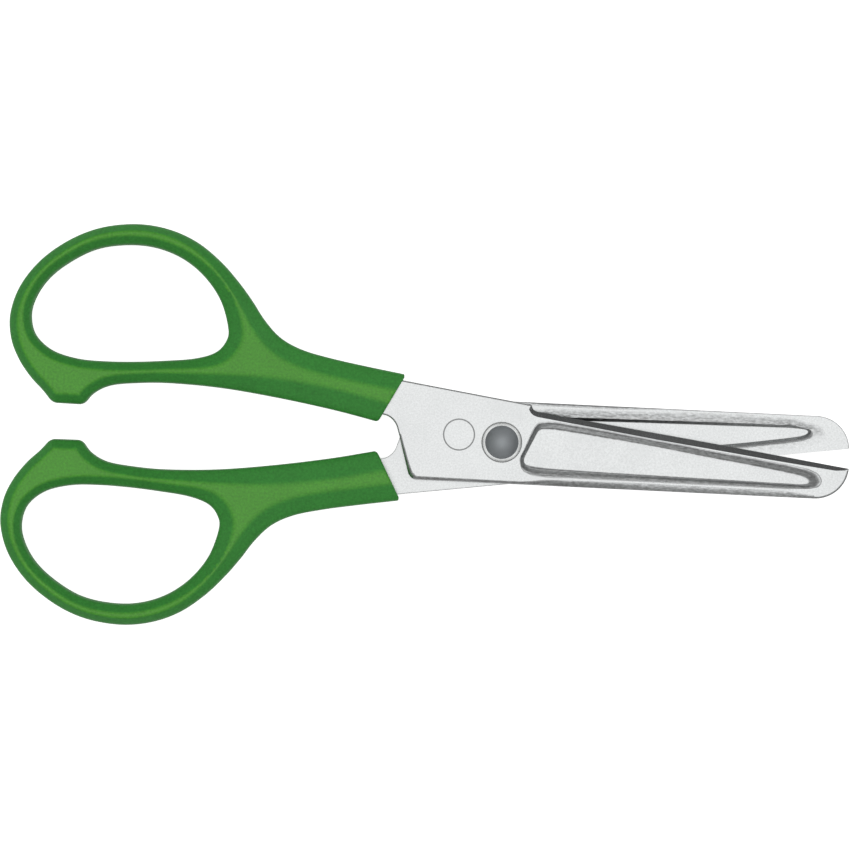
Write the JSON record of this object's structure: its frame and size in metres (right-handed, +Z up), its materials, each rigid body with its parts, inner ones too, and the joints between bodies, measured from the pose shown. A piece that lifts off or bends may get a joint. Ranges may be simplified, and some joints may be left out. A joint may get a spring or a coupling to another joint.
{
  "type": "child's scissors",
  "caption": "Left-handed child's scissors with pressed steel blades, blunt round tips, a domed pivot rivet and moulded plastic finger loops.",
  "frame": {"origin": "centre of the pivot rivet's flat tail end, in the plane the scissors rest on", "axes": "+X along the line midway between the two halves, from the pivot to the blade tips; +Z up, out of the side with the rivet's domed head; +Y to the front half's handle"},
  "size_m": [0.1198, 0.0568, 0.0053],
  "materials": {
    "blade_steel": "pressed stainless sheet, satin flats, rough pressed walls, ground cutting bevel",
    "rivet_steel": "dark tumbled steel",
    "washer_steel": "bright flat washer",
    "handle_plastic": "satin moulded green plastic"
  },
  "bodies": {
    "front_half": {"front_blade": "blade_steel", "front_handle": "handle_plastic", "pivot_rivet": "rivet_steel", "rivet_washer": "washer_steel"},
    "rear_half": {"rear_blade": "blade_steel", "rear_handle": "handle_plastic"}
  },
  "joints": [
    {"name": "pivot", "type": "hinge", "parent": "front_half", "child": "rear_half", "pos_m": [0, 0, 0.0024], "axis": [0, 0, 1], "range_deg": [-4.5, 70]}
  ]
}
